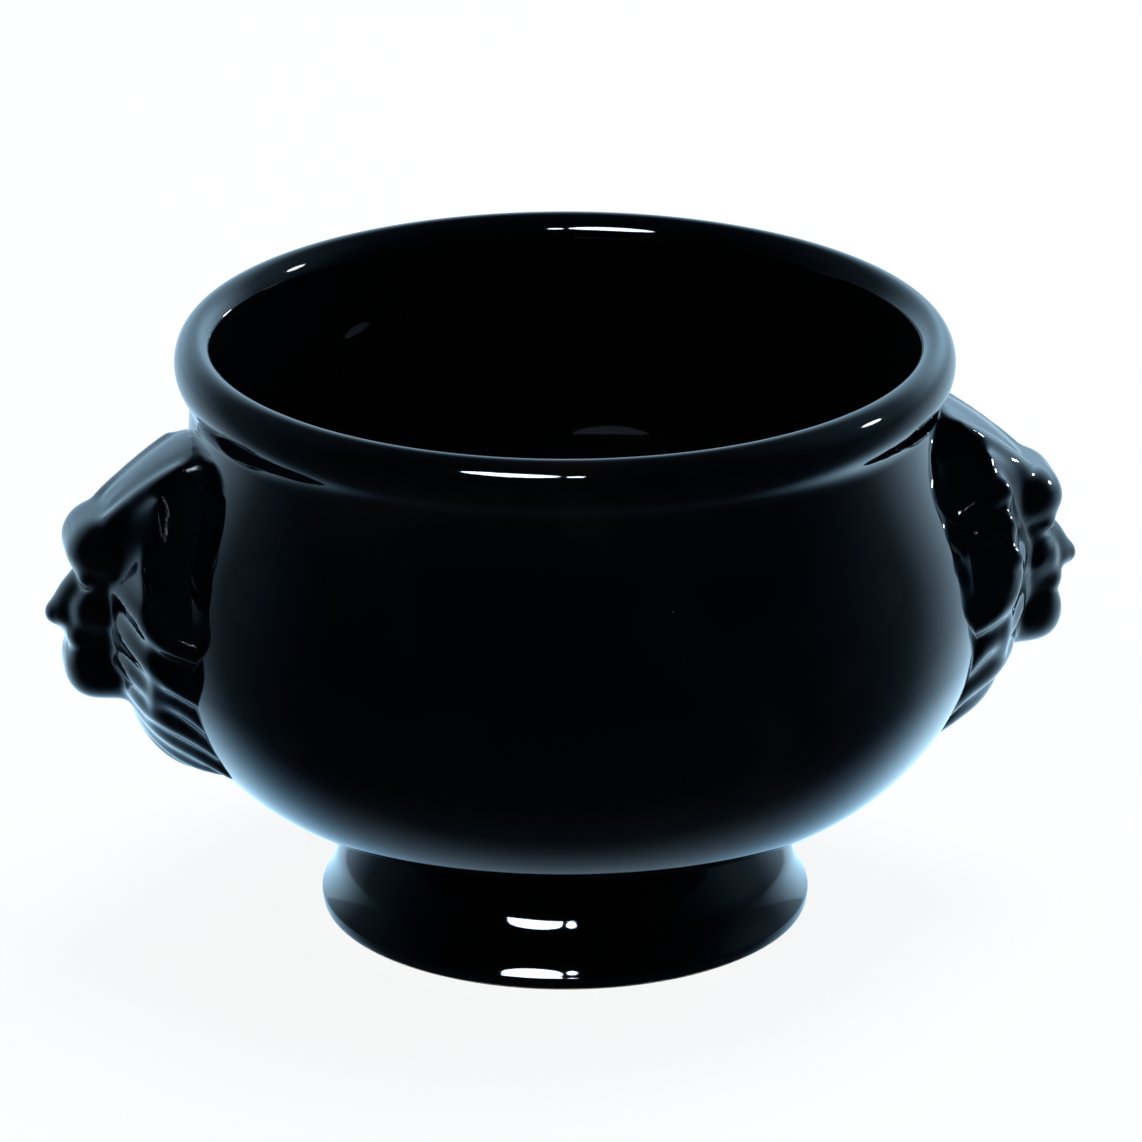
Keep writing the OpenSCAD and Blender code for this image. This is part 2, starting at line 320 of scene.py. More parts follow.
def select_where(mesh, test):
    bpy.ops.mesh.select_all(action="DESELECT")
    bpy.ops.object.mode_set(mode="OBJECT")
    for vertex in mesh.vertices:
        vertex.select = test(vertex.co)
    bpy.ops.object.mode_set(mode="EDIT")


def clay_block(name, place, half, taper, drop, rounding):
    clear_selection()
    bpy.ops.mesh.primitive_cube_add(size=2 * MM, location=(0, 0, 0))
    block = bpy.context.object
    block.name = name
    bpy.ops.object.mode_set(mode="EDIT")
    bpy.ops.transform.resize(value=half)
    select_where(block.data, lambda co: co.x > 0)
    bpy.ops.transform.resize(value=(1, taper, taper))
    select_where(block.data, lambda co: co.x > 0 and co.z > 0)
    bpy.ops.transform.translate(value=(0, 0, -drop * MM))
    bpy.ops.mesh.select_all(action="SELECT")
    bpy.ops.mesh.bevel(offset=rounding * MM, segments=6)
    bpy.ops.object.mode_set(mode="OBJECT")
    block.location = Vector(place) * MM
    return block


clay += [clay_block(*block) for block in FACE_BLOCKS]
print("blocks:", len(FACE_BLOCKS))

# %% slopes of the mane
RUFF_X, RUFF_MID, RUFF_FRONT = 65.8, 51.0, 0.47
RUFF_DEPTH, RUFF_HALF_W, RUFF_HALF_H = 2.2, 18.0, 17.0
RUFF_SIDE_DEPTH, RUFF_SIDE_FRONT, RUFF_SIDE_LOWER, RUFF_SIDE_HALF_H = 4.4, 0.86, 3.6, 16.6
ROOF_EDGE, ROOF_UP = Vector((62.8, 0, 69.0)), Vector((0.65, 0, 0.76))
RUFFS = [
    # name, place, half sizes of the back, share of it in front
    ("hood", (64.0, 0, 61.2), (3.0, 14.2, 13.6), 0.59),
    ("ruff", (RUFF_X, 0, RUFF_MID), (RUFF_DEPTH, RUFF_HALF_W, RUFF_HALF_H), RUFF_FRONT),
    ("ruff_side", (RUFF_X - RUFF_DEPTH - RUFF_SIDE_DEPTH, 0, RUFF_MID - RUFF_SIDE_LOWER),
     (RUFF_SIDE_DEPTH, RUFF_HALF_W / RUFF_SIDE_FRONT, RUFF_SIDE_HALF_H), RUFF_SIDE_FRONT),
    ("hood_side", (57.0, 0, 59.0), (4.2, 14.0, 14.6), 0.94),
]


def clay_ruff(name, place, half, front):
    clear_selection()
    bpy.ops.mesh.primitive_cone_add(vertices=64, radius1=MM, radius2=front * MM, depth=2 * MM,
                                    rotation=(0, math.pi / 2, 0), location=(0, 0, 0))
    ruff = bpy.context.object
    ruff.name = name
    bpy.ops.object.transform_apply(location=False, rotation=True, scale=False)
    bpy.ops.object.mode_set(mode="EDIT")
    bpy.ops.transform.resize(value=half)
    bpy.ops.transform.translate(value=Vector(place) * MM)
    bpy.ops.mesh.bisect(plane_co=ROOF_EDGE * MM, plane_no=ROOF_UP, use_fill=True, clear_outer=True)
    bpy.ops.object.mode_set(mode="OBJECT")
    return ruff


clay += [clay_ruff(*ruff) for ruff in RUFFS]
print("cut cones:", len(RUFFS))

# %% balls of the face
FACE_LUMPS = [
    # name, place, half sizes, tip forward in degrees
    ("mane", (MANE_X, 0, MANE_MID), (MANE_DEPTH, MANE_HALF_W, MANE_HALF_H), 0),
    ("nose", (72.2, 0, 52.8), (2.8, 3.4, 6.0), -37),
    ("nose_tip", (75.1, 0, 49.8), (2.3, 2.5, 2.0), 0),
    ("nose_wing", (74.0, 2.3, 50.0), (1.7, 1.5, 1.5), 0),
    ("upper_lip", (71.4, 0, 47.2), (3.0, 5.0, 3.0), 0),
    ("whisker_pad", (72.0, 3.4, 47.4), (2.4, 2.9, 2.4), 0),
    ("eye", (70.9, 5.0, 56.7), (2.0, 2.3, 1.6), 0),
    ("cheek_spot", (69.6, 6.2, 51.4), (2.0, 1.8, 1.8), 0),
]


def clay_ball(name, place, radii, tip, side):
    clear_selection()
    bpy.ops.mesh.primitive_uv_sphere_add(
        segments=32, ring_count=16, radius=MM, scale=radii, rotation=(0, math.radians(tip), 0),
        location=Vector((place[0], side * place[1], place[2])) * MM)
    ball = bpy.context.object
    ball.name = name
    return ball


def sides(place):
    return (1,) if place[1] == 0 else (1, -1)


clay += [clay_ball(*lump, side) for lump in FACE_LUMPS for side in sides(lump[1])]
print("lumps of clay:", len(clay))

# %% [markdown]
# ## Lion heads: locks
# The mane's locks start beside the face, run level and droop towards the bowl. Each one is a Bezier curve
# with a round bevel that tapers to its tip, laid on the mane. Only sideways and up are given: the curve's
# distance from the axis follows the bowl's wall and the swelling of the mane over it. One side of a head has
# fine locks and the other has broad ones. The broad side also has three locks on the steep flank of the hood,
# which are given with their distance, and faint locks lie on the roof.

# %% surface under the locks
WALL_POINTS = 40
BALL_POWER, CUSHION_POWER = 2, 2.6
ROOF_TOP = Vector((72.0, 0, 63.0))
ROOF_SINK = 1.15

outer_points = []
for start, end in zip(bowl_knots[1:4], bowl_knots[2:5]):
    a, b = Vector((start[0], start[1])), Vector((end[0], end[1]))
    outer_points += geometry.interpolate_bezier(a, a + Vector(start[3]), b + Vector(end[2]), b, WALL_POINTS)[:-1]


def wall_radius(z):
    for low, high in zip(outer_points, outer_points[1:]):
        if low.y <= z <= high.y:
            return low.x + (high.x - low.x) * (z - low.y) / (high.y - low.y)
    return outer_points[0].x if z < outer_points[0].y else outer_points[-1].x


def swelling(y, z, x, mid, depth, half_w, half_h, power):
    left = 1 - abs(y / half_w) ** power - abs((z - mid) / half_h) ** power
    return x + depth * max(0, left) ** (1 / power)


def ruff_x(y, z):
    out = math.hypot(y / RUFF_HALF_W, (z - RUFF_MID) / RUFF_HALF_H)
    slope = min(1, max(0, (out - RUFF_FRONT) / (1 - RUFF_FRONT)))
    lower = math.hypot(y / RUFF_HALF_W, (z - RUFF_MID + RUFF_SIDE_LOWER) / (RUFF_SIDE_HALF_H * RUFF_SIDE_FRONT))
    side = max(0, (min(out, lower) - 1) / (1 / RUFF_SIDE_FRONT - 1))
    return RUFF_X + RUFF_DEPTH - 2 * RUFF_DEPTH * slope - 2 * RUFF_SIDE_DEPTH * side


def mane_x(y, z):
    return max(math.sqrt(wall_radius(z) ** 2 - y * y), ruff_x(y, z),
               swelling(y, z, MANE_X, MANE_MID, MANE_DEPTH, MANE_HALF_W, MANE_HALF_H, BALL_POWER),
               swelling(y, z, CHEEKS_X, CHEEKS_MID, CHEEKS_DEPTH, CHEEKS_HALF_W, CHEEKS_HALF_H, CUSHION_POWER),
               swelling(y, z, COLLAR_X, COLLAR_MID, COLLAR_DEPTH, COLLAR_HALF_W, COLLAR_HALF_H, CUSHION_POWER))


def roof_x(y, z):
    return ROOF_TOP.x - (z - ROOF_TOP.z) * ROOF_UP.z / ROOF_UP.x - ROOF_SINK


print("from the axis: mane", round(mane_x(0, MANE_MID), 1), "mm, wall", round(wall_radius(MANE_MID), 1), "mm")

# %% paths of the locks
FINE_LOCKS = [
    [(6.0, 56.0), (13.0, 54.6), (18.0, 52.0), (20.6, 49.0)],
    [(6.0, 50.6), (13.0, 48.8), (18.2, 46.0), (21.2, 42.4)],
    [(6.0, 45.8), (13.0, 43.6), (18.0, 40.6), (21.2, 37.0)],
    [(6.0, 41.6), (12.4, 39.0), (17.0, 36.0), (20.0, 32.8)],
    [(5.4, 38.6), (10.8, 35.4), (14.8, 32.4), (17.4, 29.6)],
    [(4.0, 36.4), (8.0, 33.2), (11.2, 30.6), (13.0, 28.6)],
    [(1.8, 35.4), (4.0, 32.0), (5.6, 29.4), (6.4, 27.4)],
]
BROAD_LOCKS = [
    [(6.0, 54.0), (13.0, 52.4), (18.0, 49.6), (20.8, 46.4)],
    [(6.0, 47.6), (13.0, 45.4), (18.2, 42.4), (21.2, 38.8)],
    [(6.0, 41.8), (12.4, 38.8), (17.0, 35.6), (19.8, 32.2)],
    [(4.6, 37.4), (9.6, 33.8), (13.2, 31.0), (15.4, 28.8)],
    [(2.4, 35.6), (5.2, 32.2), (7.2, 29.4), (8.2, 27.2)],
]
ROOF_LOCKS = [
    [(1.6, 65.6), (2.0, 68.6), (2.4, 71.4), (3.0, 73.8)],
    [(5.2, 64.6), (5.6, 67.8), (6.2, 70.8), (7.0, 73.4)],
]
SIDE_LOCKS = [
    [(63.8, 10.6, 64.8), (60.8, 12.2, 63.8), (58.0, 12.8, 62.0), (55.4, 13.2, 60.0)],
    [(64.2, 12.2, 60.2), (61.0, 13.6, 59.0), (58.2, 14.2, 57.2), (55.6, 14.8, 55.0)],
    [(64.8, 13.9, 55.6), (61.6, 15.7, 54.2), (58.6, 16.3, 52.4), (55.4, 16.6, 50.2)],
]
print("locks:", len(FINE_LOCKS), "fine,", len(BROAD_LOCKS), "broad,", len(SIDE_LOCKS), "on the flank")

# %% locks of the mane
# Radii of a lock at its root and its tip
FINE_R, BROAD_R, ROOF_R, SIDE_R = (2.6, 1.6), (3.4, 2.0), (2.0, 1.6), (2.5, 1.7)
LOCK_ROOT_PROUD, LOCK_TIP_PROUD = 0.7, -0.6
TIP_CURVE = 3  # the higher, the later a lock dives towards its tip


def laid_on(surface, path, side, root_r, tip_r):
    centres = []
    for index, (y, z) in enumerate(path):
        along = index / (len(path) - 1)
        proud = LOCK_ROOT_PROUD + (LOCK_TIP_PROUD - LOCK_ROOT_PROUD) * along ** TIP_CURVE
        centres.append((surface(y, z) + proud - root_r - (tip_r - root_r) * along, side * y, z))
    return centres


def lock_of_hair(centres, root_r, tip_r):
    clear_selection()
    bpy.ops.curve.primitive_bezier_curve_add(location=(0, 0, 0))
    lock = bpy.context.object
    spline = lock.data.splines[0]
    spline.bezier_points.add(len(centres) - 2)
    lock.data.dimensions = "3D"
    lock.data.bevel_depth = MM
    lock.data.bevel_resolution = 6
    lock.data.use_fill_caps = True
    spline.resolution_u = 12
    for index, (point, centre) in enumerate(zip(spline.bezier_points, centres)):
        point.co = Vector(centre) * MM
        point.handle_left_type = point.handle_right_type = "AUTO"
        point.radius = root_r + (tip_r - root_r) * index / (len(centres) - 1)
    bpy.ops.object.convert(target="MESH")
    return bpy.context.object


for side, paths, radii in ((1, FINE_LOCKS, FINE_R), (-1, BROAD_LOCKS, BROAD_R)):
    clay += [lock_of_hair(laid_on(mane_x, path, side, *radii), *radii) for path in paths]
    clay += [lock_of_hair(laid_on(roof_x, path, side, *ROOF_R), *ROOF_R) for path in ROOF_LOCKS]
clay += [lock_of_hair([(x, -y, z) for x, y, z in path], *SIDE_R) for path in SIDE_LOCKS]
print("pieces of clay in a head:", len(clay))

# %% [markdown]
# ## Lion heads: a seat on the wall
# Glaze never leaves a sharp corner between a handle and the wall. So the head is melted together with a thin
# patch of the bowl's own wall, sunk a little below its surface: smoothing then leaves a soft fillet that dips
# into the wall. The patch is a copy of the bowl's skin around the head, given a thickness.

# %% patch of wall
SEAT_MID, SEAT_HALF_W, SEAT_HALF_H, SEAT_OVER_NECK = 50.0, 27.0, 33.5, 5
SEAT_SINK, SEAT_THICK = 0.8, 2.4
SKIN_DEPTH = 1  # faces nearer than this to the wall's radius are its outside
pick(bowl)
bpy.ops.object.duplicate()
seat = bpy.context.object
for face in seat.data.polygons:
    x, y, z = face.center / MM
    near = x > 0 and (y / SEAT_HALF_W) ** 2 + ((z - SEAT_MID) / SEAT_HALF_H) ** 2 < 1
    low = z < neck_z + SEAT_OVER_NECK
    outer = face.normal.x * x + face.normal.y * y > 0 and math.hypot(x, y) > wall_radius(z) - SKIN_DEPTH
    face.select = not (near and low and outer)
bpy.ops.object.mode_set(mode="EDIT")
bpy.ops.mesh.select_mode(type="FACE")
bpy.ops.mesh.delete(type="FACE")
bpy.ops.mesh.select_all(action="SELECT")
bpy.ops.transform.shrink_fatten(value=-SEAT_SINK * MM)
bpy.ops.object.mode_set(mode="OBJECT")
apply_modifier(seat, "SOLIDIFY", thickness=SEAT_THICK * MM, offset=-1.0)
print("patch of wall:", len(seat.data.polygons), "faces")

# %% [markdown]
# ## Lion heads: melting and trimming
# The remesh turns all the lumps into one skin, and a few rounds of smoothing give it the softness of a cast
# under a thick glaze. What lies inside the bowl's wall is cut away with a solid of the bowl's outside.

# %% melt the head
VOXEL = 0.45 * MM
SMOOTHING, ROUNDS = 0.5, 42
TRIM_IN, TRIM_UP = 0.6, 0.5
pick(clay[0], *clay[1:], seat)
bpy.ops.object.join()
head = bpy.context.object
head.name = "right_lion_head_glazed"
bpy.ops.object.transform_apply(location=True, rotation=True, scale=True)
apply_modifier(head, "REMESH", mode="VOXEL", voxel_size=VOXEL)
apply_modifier(head, "SMOOTH", factor=SMOOTHING, iterations=ROUNDS)
inside_low = underside_z + TRIM_UP
inside_knots = [(0, inside_low, STRAIGHT, (1, 0))]
inside_knots += [(r - TRIM_IN, max(z, inside_low), into, out) for r, z, into, out in bowl_knots[1:5]]
inside_knots[-1] = inside_knots[-1][:3] + ((-1, 0),)
inside_knots += [(0, rim_z, (1, 0), STRAIGHT)]
bowl_inside = spin_profile("bowl_inside", inside_knots)
apply_modifier(head, "BOOLEAN", operation="DIFFERENCE", object=bowl_inside, solver="EXACT")
bpy.data.objects.remove(bowl_inside)
settle(head)
print("head:", len(head.data.polygons), "faces")

# %% [markdown]
# ## Lion heads: the second one
# Both heads come out of one mould. So the left head is a copy with a mesh of its own, turned half round.

# %% the second head
pick(head)
bpy.ops.object.duplicate()
left_head = bpy.context.object
left_head.name = "left_lion_head_glazed"
left_head.rotation_euler = (0, 0, math.pi)
settle(left_head)
print("heads:", head.name, left_head.name)

# %% [markdown]
# ## The studio's dark side
# Gloss black has hardly any colour of its own: what we see is the room in it. The photograph was taken in a
# white room with darkness behind the camera, so a face turned to the camera mirrors nothing and looks black,
# and a face turned aside mirrors white. We need that fade twice, on the floor and in the world, so it is a
# node group: a direction goes in, a colour comes out. Red starts last, which makes the half-dark parts blue.

# %% node helpers
def new_group(name, inputs, outputs):
    group = bpy.data.node_groups.new(name, "ShaderNodeTree")
    for title, kind in inputs:
        group.interface.new_socket(title, in_out="INPUT", socket_type=kind)
    for title, kind in outputs:
        group.interface.new_socket(title, in_out="OUTPUT", socket_type=kind)
    return group, group.nodes.new("NodeGroupInput"), group.nodes.new("NodeGroupOutput")


def map_range(tree, value, from_min, from_max, to_min, to_max):
    node = tree.nodes.new("ShaderNodeMapRange")
    node.interpolation_type = "SMOOTHSTEP"
    for title, number in (("From Min", from_min), ("From Max", from_max), ("To Min", to_min), ("To Max", to_max)):
        node.inputs[title].default_value = number
    tree.links.new(value, node.inputs["Value"])
    return node.outputs[0]


def feed(tree, socket, value):
    if isinstance(value, bpy.types.NodeSocket):
        tree.links.new(value, socket)
    else:
        socket.default_value = value


def math_node(tree, operation, first, second):
    node = tree.nodes.new("ShaderNodeMath")
    node.operation = operation
    feed(tree, node.inputs[0], first)
    feed(tree, node.inputs[1], second)
    return node.outputs[0]


print("node groups so far:", len(bpy.data.node_groups))

# %% group: dark side
COOL_WHITE = (0.48, 0.76, 1.0, 1)
FADE_FROM, FADE_TO = (-0.44, -0.5, -0.54), (0.29, 0.26, 0.25)
DARK = 0.004

dark_side, given, made = new_group(
    "dark_side", [("Direction", "NodeSocketVector")], [("Color", "NodeSocketColor")])
turn = dark_side.nodes.new("ShaderNodeVectorRotate")
turn.rotation_type = "Z_AXIS"
turn.inputs["Angle"].default_value = -CAMERA_TURN
dark_side.links.new(given.outputs[0], turn.inputs["Vector"])
split = dark_side.nodes.new("ShaderNodeSeparateXYZ")
dark_side.links.new(turn.outputs[0], split.inputs[0])
mixed = dark_side.nodes.new("ShaderNodeCombineColor")
for channel, (low, high, top) in enumerate(zip(FADE_FROM, FADE_TO, COOL_WHITE)):
    dark_side.links.new(map_range(dark_side, split.outputs["Y"], low, high, DARK, top), mixed.inputs[channel])
dark_side.links.new(mixed.outputs[0], made.inputs[0])
print("dark side fades over", FADE_FROM, "to", FADE_TO)

# %% [markdown]
# ## Floor
# The bowl stands on white paper. To the camera the paper is white, with the bowl's soft shadow on it: most
# of its brightness is a glow that only the camera and reflections see, and the rest is a matt surface that
# takes the shadow. In reflections the glow is painted light and shade: it fades to a painted dark side in front,
# and a painted pool of light close to the foot gives the belly its light lower edge.

# %% material helpers
# Places of a Mix node's sockets, which share their names
MIX_FACTOR, MIX_FLOAT_A, MIX_FLOAT_B, MIX_COLOR_A, MIX_COLOR_B = 0, 2, 3, 6, 7
MIX_FLOAT_OUT, MIX_COLOR_OUT = 0, 2


def new_material(name):
    material = bpy.data.materials.new(name)
    material.use_nodes = True
    material.node_tree.nodes.clear()
    return material, material.node_tree, material.node_tree.nodes.new("ShaderNodeOutputMaterial")


def noise(tree, vector, scale, detail):
    node = tree.nodes.new("ShaderNodeTexNoise")
    node.inputs["Scale"].default_value = scale
    node.inputs["Detail"].default_value = detail
    tree.links.new(vector, node.inputs["Vector"])
    return node.outputs["Fac"]


def blend(tree, factor, first, second):
    node = tree.nodes.new("ShaderNodeMix")
    node.data_type = "RGBA"
    for socket, value in ((MIX_FACTOR, factor), (MIX_COLOR_A, first), (MIX_COLOR_B, second)):
        feed(tree, node.inputs[socket], value)
    return node.outputs[MIX_COLOR_OUT]


print("materials so far:", len(bpy.data.materials))

# %% floor
FLOOR_SIZE = 8
WHITE, PAPER_DARK, PAPER_LIGHT = (1, 1, 1, 1), (0.83, 0.84, 0.85, 1), (0.89, 0.9, 0.91, 1)
TOOTH_SCALE, TOOTH_DETAIL = 900, 3
MIRROR_LIFT = 0.06  # metres: tips the direction up close to the bowl, where the fade is soft
NEAR, FAR, NEAR_LIFT, FAR_LIFT = 0.08, 0.24, 0.6, -0.15
CLOSE, CLOSE_END, CLOSE_SHARE = 0.04, 0.1, 0.3
GLOW_SHARE = 0.9
clear_selection()
bpy.ops.mesh.primitive_plane_add(size=FLOOR_SIZE, location=(0, 0, 0))
floor = bpy.context.object
floor.name = "floor"

paper, tree, out = new_material("white_paper")
where = tree.nodes.new("ShaderNodeTexCoord")
tooth = noise(tree, where.outputs["Object"], TOOTH_SCALE, TOOTH_DETAIL)
matt = tree.nodes.new("ShaderNodeBsdfDiffuse")
tree.links.new(blend(tree, tooth, PAPER_DARK, PAPER_LIGHT), matt.inputs["Color"])
lift = tree.nodes.new("ShaderNodeVectorMath")
lift.operation = "ADD"
lift.inputs[1].default_value = (0, 0, MIRROR_LIFT)
tree.links.new(where.outputs["Object"], lift.inputs[0])
away = tree.nodes.new("ShaderNodeVectorMath")
away.operation = "NORMALIZE"
tree.links.new(lift.outputs[0], away.inputs[0])
# painted shade: in reflections the paper's glow darkens towards the dark side in front of the bowl
shade = tree.nodes.new("ShaderNodeGroup")
shade.node_tree = dark_side
tree.links.new(away.outputs[0], shade.inputs[0])
ray = tree.nodes.new("ShaderNodeLightPath")
reach = tree.nodes.new("ShaderNodeVectorMath")
reach.operation = "LENGTH"
tree.links.new(where.outputs["Object"], reach.inputs[0])
# painted pool of light: a cool white glow close to the foot, seen only in reflections
close = map_range(tree, reach.outputs["Value"], CLOSE, CLOSE_END, CLOSE_SHARE, 0)
mirrored = blend(tree, close, shade.outputs[0], COOL_WHITE)
# painted light and shade: reflections see the glow brighter near the bowl and dimmer far off
near = map_range(tree, reach.outputs["Value"], NEAR, FAR, NEAR_LIFT, FAR_LIFT)
level = math_node(tree, "ADD", math_node(tree, "MULTIPLY", near, ray.outputs["Is Glossy Ray"]), 1)
glow = tree.nodes.new("ShaderNodeEmission")
tree.links.new(blend(tree, ray.outputs["Is Glossy Ray"], WHITE, mirrored), glow.inputs["Color"])
tree.links.new(level, glow.inputs["Strength"])
seen = math_node(tree, "MAXIMUM", ray.outputs["Is Camera Ray"], ray.outputs["Is Glossy Ray"])
seen = math_node(tree, "MAXIMUM", seen, ray.outputs["Is Transmission Ray"])
mix = tree.nodes.new("ShaderNodeMixShader")
tree.links.new(math_node(tree, "MULTIPLY", seen, GLOW_SHARE), mix.inputs[0])
tree.links.new(matt.outputs[0], mix.inputs[1])
tree.links.new(glow.outputs[0], mix.inputs[2])
tree.links.new(mix.outputs[0], out.inputs["Surface"])
floor.data.materials.append(paper)
print("floor:", floor.dimensions.x, "m wide")

# %% [markdown]
# ## Room
# The world is the rest of the room: the same fade from white to the dark side, and darker overhead, so the
# inside of the bowl mirrors a black ceiling. The right side is brighter above the table, as from a window:
# it lights the roof of the right head and the right of the rim. To the camera the room is plain white.

# %% room
WINDOW_FROM, WINDOW_TO, WINDOW_LIFT = 0.05, 0.7, 1.3
SILL, SILL_END = 0, 0.35
CEILING_FROM, CEILING_TO, CEILING_DARK = 0.6, 0.97, 0.12
MIRRORED_LEVEL = 0.95
world = bpy.data.worlds.new("studio")
bpy.context.scene.world = world
world.use_nodes = True
tree = world.node_tree
tree.nodes.clear()
out = tree.nodes.new("ShaderNodeOutputWorld")
where = tree.nodes.new("ShaderNodeTexCoord")
shade = tree.nodes.new("ShaderNodeGroup")
shade.node_tree = dark_side
tree.links.new(where.outputs["Generated"], shade.inputs[0])
split = tree.nodes.new("ShaderNodeSeparateXYZ")
tree.links.new(where.outputs["Generated"], split.inputs[0])
ray = tree.nodes.new("ShaderNodeLightPath")
window = map_range(tree, split.outputs["X"], WINDOW_FROM, WINDOW_TO, 0, WINDOW_LIFT)
window = math_node(tree, "MULTIPLY", window, map_range(tree, split.outputs["Z"], SILL, SILL_END, 0, 1))
window = math_node(tree, "ADD", window, 1)
ceiling = map_range(tree, split.outputs["Z"], CEILING_FROM, CEILING_TO, 1, CEILING_DARK)
level = map_range(tree, ray.outputs["Is Glossy Ray"], 0, 1, 1, MIRRORED_LEVEL)
level = math_node(tree, "MULTIPLY", ceiling, math_node(tree, "MULTIPLY", level, window))
seen = math_node(tree, "MAXIMUM", ray.outputs["Is Camera Ray"], ray.outputs["Is Transmission Ray"])
background = tree.nodes.new("ShaderNodeBackground")
tree.links.new(blend(tree, seen, shade.outputs[0], WHITE), background.inputs["Color"])
strength = tree.nodes.new("ShaderNodeMix")
strength.inputs[MIX_FLOAT_B].default_value = 1
tree.links.new(seen, strength.inputs[MIX_FACTOR])
tree.links.new(level, strength.inputs[MIX_FLOAT_A])
tree.links.new(strength.outputs[MIX_FLOAT_OUT], background.inputs["Strength"])
tree.links.new(background.outputs[0], out.inputs["Surface"])
print("room:", world.name)

# %% [markdown]
# ## Lamps
# The bars of light on the rim and the foot are one wide lamp in front and to the left, with a small one
# beside it, and the sparks on the right head are a lamp on that side. A large lamp overhead, which reflections
# don't see, throws the soft shadow. The front lamps reach only the turned pieces: the heads mirror the room.

# %% lamps
def lamp(name, azimuth, elevation, distance, size, watts, shape="DISK"):
    clear_selection()
    place = LOOK_AT + direction(math.radians(azimuth) + CAMERA_TURN, math.radians(elevation)) * distance
    bpy.ops.object.light_add(type="AREA", location=place, rotation=looking(place, LOOK_AT))
    light = bpy.context.object
    light.name = name
    light.data.shape = shape
    light.data.size = size
    light.data.energy = watts
    print(name, [round(c, 2) for c in place])
    return light


top_lamp = lamp("top_lamp", azimuth=150, elevation=72, distance=1.6, size=1.1, watts=26)
top_lamp.visible_glossy = False
umbrella = lamp("umbrella", azimuth=-17, elevation=38, distance=1.5, size=0.66, watts=410, shape="ELLIPSE")
umbrella.data.size_y = 0.34
small_lamp = lamp("small_lamp", azimuth=3.5, elevation=36, distance=1.5, size=0.12, watts=34)
right_lamp = lamp("right_lamp", azimuth=104, elevation=25, distance=1.5, size=0.2, watts=20)
for light in (umbrella, small_lamp, right_lamp):
    light.visible_diffuse = False

lit = bpy.data.collections.new("lit_by_front_lamps")
for piece in (bowl, foot, luting_ring):
    lit.objects.link(piece)
for light in (umbrella, small_lamp):
    light.light_linking.receiver_collection = lit

# %% [markdown]
# ## What a glaze does
# Fired glaze is a thick coat of glass. It is never quite flat, it holds a few pinholes and specks, it runs
# thinner and browner in random patches, and the potter wipes it off the ring that stands in
# the kiln. One group makes the pinholes, specks, thin patches and wiped ring from the place on the piece,
# for every glazed part, and each material chooses how much it wants. Only the values that change over the surface
# come out of it.

# %% group: fired glaze
MADE_OUT = [("Color", "NodeSocketColor"), ("Roughness", "NodeSocketFloat"), ("Height", "NodeSocketFloat"),
            ("Glazed", "NodeSocketFloat")]
ASKED = [("Position", "NodeSocketVector"), ("Glaze", "NodeSocketColor"), ("Thin Glaze", "NodeSocketColor"),
         ("Clay", "NodeSocketColor"), ("Specks", "NodeSocketFloat"), ("Wiped Below", "NodeSocketFloat")]
# Scales are counts per metre
CLOUD_SCALE, CELL_SCALE, RAGGED_SCALE, SMEAR_SCALE, GRIT_SCALE = 45, 170, 260, 120, 1500
THIN_FROM, THIN_TO = 0.48, 0.75
SPECK_CORE, SPECK_EDGE = 0.03, 0.07
RAGGED = 0.3 * MM
GLAZE_ROUGH, SMEAR_ROUGH, SPECK_ROUGH, CLAY_ROUGH = 0.01, 0.05, 0.4, 0.75

fired, given, made = new_group("fired_glaze", ASKED, MADE_OUT)
cloud = noise(fired, given.outputs["Position"], CLOUD_SCALE, detail=3)
thin = map_range(fired, cloud, THIN_FROM, THIN_TO, 0, 1)
cells = fired.nodes.new("ShaderNodeTexVoronoi")
cells.inputs["Scale"].default_value = CELL_SCALE
fired.links.new(given.outputs["Position"], cells.inputs["Vector"])
few = fired.nodes.new("ShaderNodeSeparateColor")
fired.links.new(cells.outputs["Color"], few.inputs[0])
chosen = math_node(fired, "GREATER_THAN", given.outputs["Specks"], few.outputs[0])
spot = map_range(fired, cells.outputs["Distance"], SPECK_CORE, SPECK_EDGE, 1, 0)
speck = math_node(fired, "MULTIPLY", spot, chosen)
split = fired.nodes.new("ShaderNodeSeparateXYZ")
fired.links.new(given.outputs["Position"], split.inputs[0])
ragged = math_node(fired, "MULTIPLY", noise(fired, given.outputs["Position"], RAGGED_SCALE, detail=2), RAGGED)
edge = math_node(fired, "ADD", given.outputs["Wiped Below"], ragged)
glazed = math_node(fired, "GREATER_THAN", split.outputs["Z"], edge)
glaze_colour = blend(fired, thin, given.outputs["Glaze"], given.outputs["Thin Glaze"])
glaze_colour = blend(fired, speck, glaze_colour, given.outputs["Clay"])
fired.links.new(blend(fired, glazed, given.outputs["Clay"], glaze_colour), made.inputs["Color"])
smear = math_node(fired, "MULTIPLY", noise(fired, given.outputs["Position"], SMEAR_SCALE, detail=4), SMEAR_ROUGH)
dull_speck = math_node(fired, "MULTIPLY", speck, SPECK_ROUGH)
shine = math_node(fired, "ADD", math_node(fired, "ADD", smear, GLAZE_ROUGH), dull_speck)
matt_clay = math_node(fired, "MULTIPLY", math_node(fired, "SUBTRACT", 1, glazed), CLAY_ROUGH)
fired.links.new(math_node(fired, "MAXIMUM", shine, matt_clay), made.inputs["Roughness"])
grit = math_node(fired, "MULTIPLY", noise(fired, given.outputs["Position"], GRIT_SCALE, detail=2), matt_clay)
fired.links.new(math_node(fired, "SUBTRACT", grit, speck), made.inputs["Height"])
fired.links.new(glazed, made.inputs["Glazed"])
print("fired_glaze:", len(fired.nodes), "nodes")

# %% [markdown]
# ## Glaze on the pieces
# The glass mirrors little head on and a lot at a glancing angle, which is what makes the edges of black
# crockery light. A Principled shader with a clear coat does that: Layer Weight raises the coat towards the
# edges, and a slow noise bends the mirror a little, as the surface of a dipped glaze does. The heads are
# full of small slopes, so their coat comes in earlier, and the seam where the foot is luted on holds more
# glaze than the walls and is deeper black.

